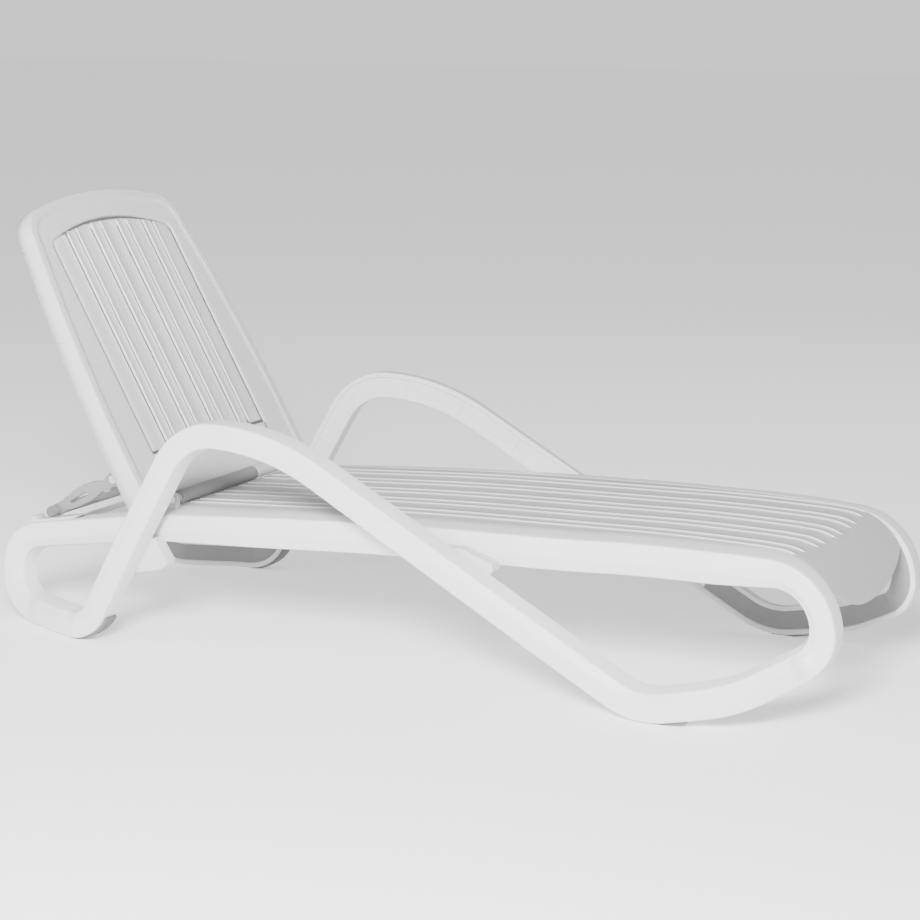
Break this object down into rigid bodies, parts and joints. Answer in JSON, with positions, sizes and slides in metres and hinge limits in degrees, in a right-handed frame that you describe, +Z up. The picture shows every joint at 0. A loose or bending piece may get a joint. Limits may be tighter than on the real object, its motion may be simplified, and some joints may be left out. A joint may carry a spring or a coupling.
{
  "type": "sun lounger",
  "caption": "White moulded resin sun lounger with arms, ribbon side frames, a ribbed seat deck and a reclining back carried by a sliding prop.",
  "frame": {"origin": "on the floor, at the middle of the length and width of the lounger as it stands in the picture", "axes": "+X towards the foot end, +Y towards the left side as seen by a person lying on it, +Z up"},
  "size_m": [1.8955, 0.77, 0.9252],
  "materials": {
    "white_resin": "satin, fine grain",
    "dark_pad": "matte",
    "steel": "plain"
  },
  "bodies": {
    "base": {"left_side_frame": "white_resin", "right_side_frame": "white_resin", "seat_deck": "white_resin", "hinge_cross_member": "white_resin", "middle_cross_member": "white_resin", "foot_cross_member": "white_resin", "head_cross_member": "white_resin", "left_hinge_lug": "white_resin", "right_hinge_lug": "white_resin", "hinge_pins": "steel", "hinge_pin_caps": "white_resin", "left_rack": "white_resin", "right_rack": "white_resin", "left_rear_leg_bracket": "white_resin", "right_rear_leg_bracket": "white_resin", "left_front_leg_bracket": "white_resin", "right_front_leg_bracket": "white_resin", "left_front_pad": "dark_pad", "right_front_pad": "dark_pad", "left_rear_pad": "dark_pad", "right_rear_pad": "dark_pad", "frame_screws": "steel", "deck_screws": "steel", "leg_screws": "steel"},
    "back": {"back_panel": "white_resin", "left_prop_bracket": "white_resin", "right_prop_bracket": "white_resin", "prop_pins": "steel", "prop_pin_caps": "white_resin", "back_screws": "steel"},
    "prop": {"left_prop_arm": "white_resin", "right_prop_arm": "white_resin", "prop_foot_bar": "white_resin", "foot_bar_caps": "dark_pad"}
  },
  "joints": [
    {"name": "back_recline", "type": "hinge", "parent": "base", "child": "back", "pos_m": [-0.535, 0, 0.302], "axis": [0, -1, 0], "range_deg": [0, 60.5]},
    {"name": "prop_swing", "type": "hinge", "parent": "back", "child": "prop", "pos_m": [-0.70553, 0, 0.32444], "axis": [0, -1, 0], "range_deg": [-121, 0]}
  ],
  "couplings": [
    {"joint": "prop_swing", "follows": "back_recline", "ratio": -2}
  ]
}
